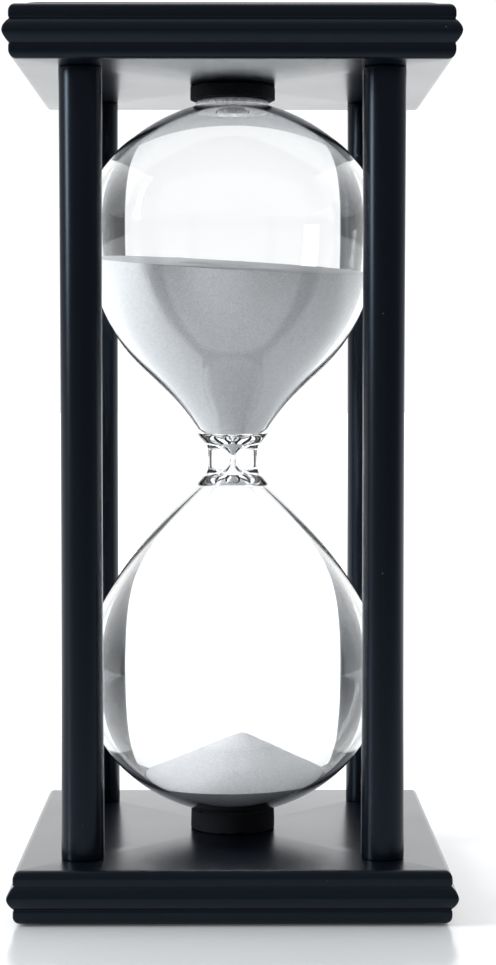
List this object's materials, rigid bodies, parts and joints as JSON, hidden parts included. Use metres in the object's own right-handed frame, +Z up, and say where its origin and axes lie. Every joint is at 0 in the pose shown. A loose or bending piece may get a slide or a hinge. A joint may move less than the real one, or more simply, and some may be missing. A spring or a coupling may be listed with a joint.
{
  "type": "hourglass",
  "caption": "Black lacquered hourglass: moulded square plates and turned posts round a clear blown glass of pale sand, held between rubber cushions.",
  "frame": {"origin": "centre of the underside of the lower felt sheet, on the surface the hourglass stands on", "axes": "+Z up along the glass, -Y towards the front, +X to the viewer's right when looking at the front"},
  "size_m": [0.099, 0.099, 0.2012],
  "materials": {
    "lacquer": "black satin lacquer over turned and moulded wood",
    "glass": "clear blown glass",
    "sand": "fine pale blue-white grains",
    "cushion": "matte black cellular rubber",
    "felt": "black pressed felt",
    "screw": "zinc-plated wood screw",
    "plug": "pale clear resin plug with a flat head"
  },
  "bodies": {
    "root": {"top_plate": "lacquer", "bottom_plate": "lacquer", "post_front_left": "lacquer", "post_front_right": "lacquer", "post_back_left": "lacquer", "post_back_right": "lacquer", "top_screw_front_left": "screw", "top_screw_front_right": "screw", "top_screw_back_left": "screw", "top_screw_back_right": "screw", "bottom_screw_front_left": "screw", "bottom_screw_front_right": "screw", "bottom_screw_back_left": "screw", "bottom_screw_back_right": "screw", "top_felt": "felt", "bottom_felt": "felt", "top_cushion": "cushion", "bottom_cushion": "cushion", "glass_bulbs": "glass", "fill_plug": "plug", "upper_sand": "sand", "lower_sand": "sand"}
  },
  "joints": []
}
